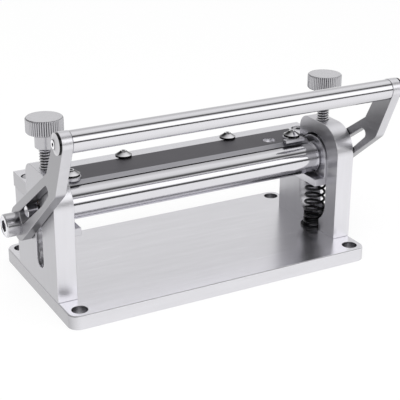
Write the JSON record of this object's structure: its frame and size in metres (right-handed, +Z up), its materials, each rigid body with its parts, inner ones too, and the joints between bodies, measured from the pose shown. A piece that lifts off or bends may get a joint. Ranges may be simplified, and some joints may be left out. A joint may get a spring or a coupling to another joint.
{
  "type": "leather splitting machine",
  "caption": "Bench leather splitter: fixed blade over a sprung roller on a base plate, with adjusting knobs and a lever frame that lowers the roller.",
  "frame": {"origin": "centre of the base plate's underside", "axes": "+X along the roller to the right, +Y to the back, away from the handle bar, +Z up"},
  "size_m": [0.3444, 0.1843, 0.1798],
  "materials": {
    "milled_aluminium": "satin, finely brushed",
    "turned_aluminium": "turned, knurled rim",
    "polished_steel": "polished",
    "bright_screw": "polished",
    "machined_steel": "machined",
    "blade_steel": "dark, ground edge",
    "black_steel": "black oxide",
    "bronze": "turned"
  },
  "bodies": {
    "frame": {"base_plate": "milled_aluminium", "left_upright": "milled_aluminium", "right_upright": "milled_aluminium", "upright_screws": "black_steel", "blade_beam": "milled_aluminium", "beam_screws": "machined_steel", "blade": "blade_steel", "blade_screws": "bright_screw", "end_plates": "milled_aluminium", "end_plate_screws": "bright_screw", "pivot_bolts": "bright_screw", "pivot_washers": "machined_steel", "left_spring": "black_steel", "right_spring": "black_steel", "spring_seats": "black_steel"},
    "lever_frame": {"left_arm": "milled_aluminium", "right_arm": "milled_aluminium", "handle_bar": "polished_steel", "handle_screws": "bright_screw"},
    "carriage": {"left_block": "milled_aluminium", "right_block": "milled_aluminium", "bushings": "bronze", "thrust_washers": "machined_steel"},
    "roller": {"roller": "polished_steel"},
    "left_tip": {"left_screw_tip": "machined_steel"},
    "left_adjuster": {"left_adjuster_screw": "machined_steel", "left_adjuster_knob": "turned_aluminium"},
    "right_tip": {"right_screw_tip": "machined_steel"},
    "right_adjuster": {"right_adjuster_screw": "machined_steel", "right_adjuster_knob": "turned_aluminium"}
  },
  "joints": [
    {"name": "lever", "type": "hinge", "parent": "frame", "child": "lever_frame", "pos_m": [0, 0.013, 0.064], "axis": [1, 0, 0], "range_deg": [0, 9]},
    {"name": "roller_drop", "type": "slide", "parent": "frame", "child": "carriage", "axis": [0, 0, -1], "range_m": [0, 0.0062], "stiffness_N_per_m": 18300, "springref_m": -0.003, "deforming": ["left_spring", "right_spring"]},
    {"name": "roller_spin", "type": "hinge", "parent": "carriage", "child": "roller", "pos_m": [0, -0.0135, 0.0852], "axis": [1, 0, 0], "continuous": true},
    {"name": "left_screw_rise", "type": "slide", "parent": "frame", "child": "left_tip", "axis": [0, 0, 1], "range_m": [0, 0.0025]},
    {"name": "left_knob_turn", "type": "hinge", "parent": "left_tip", "child": "left_adjuster", "pos_m": [-0.14, -0.0135, 0.15], "axis": [0, 0, 1], "range_deg": [0, 360]},
    {"name": "right_screw_rise", "type": "slide", "parent": "frame", "child": "right_tip", "axis": [0, 0, 1], "range_m": [0, 0.0025]},
    {"name": "right_knob_turn", "type": "hinge", "parent": "right_tip", "child": "right_adjuster", "pos_m": [0.14, -0.0135, 0.15], "axis": [0, 0, 1], "range_deg": [0, 360]}
  ],
  "couplings": [
    {"joint": "roller_drop", "follows": "lever", "m_per_rad": 0.039},
    {"joint": "left_knob_turn", "follows": "left_screw_rise", "rad_per_m": 2513.3},
    {"joint": "right_knob_turn", "follows": "right_screw_rise", "rad_per_m": 2513.3}
  ]
}
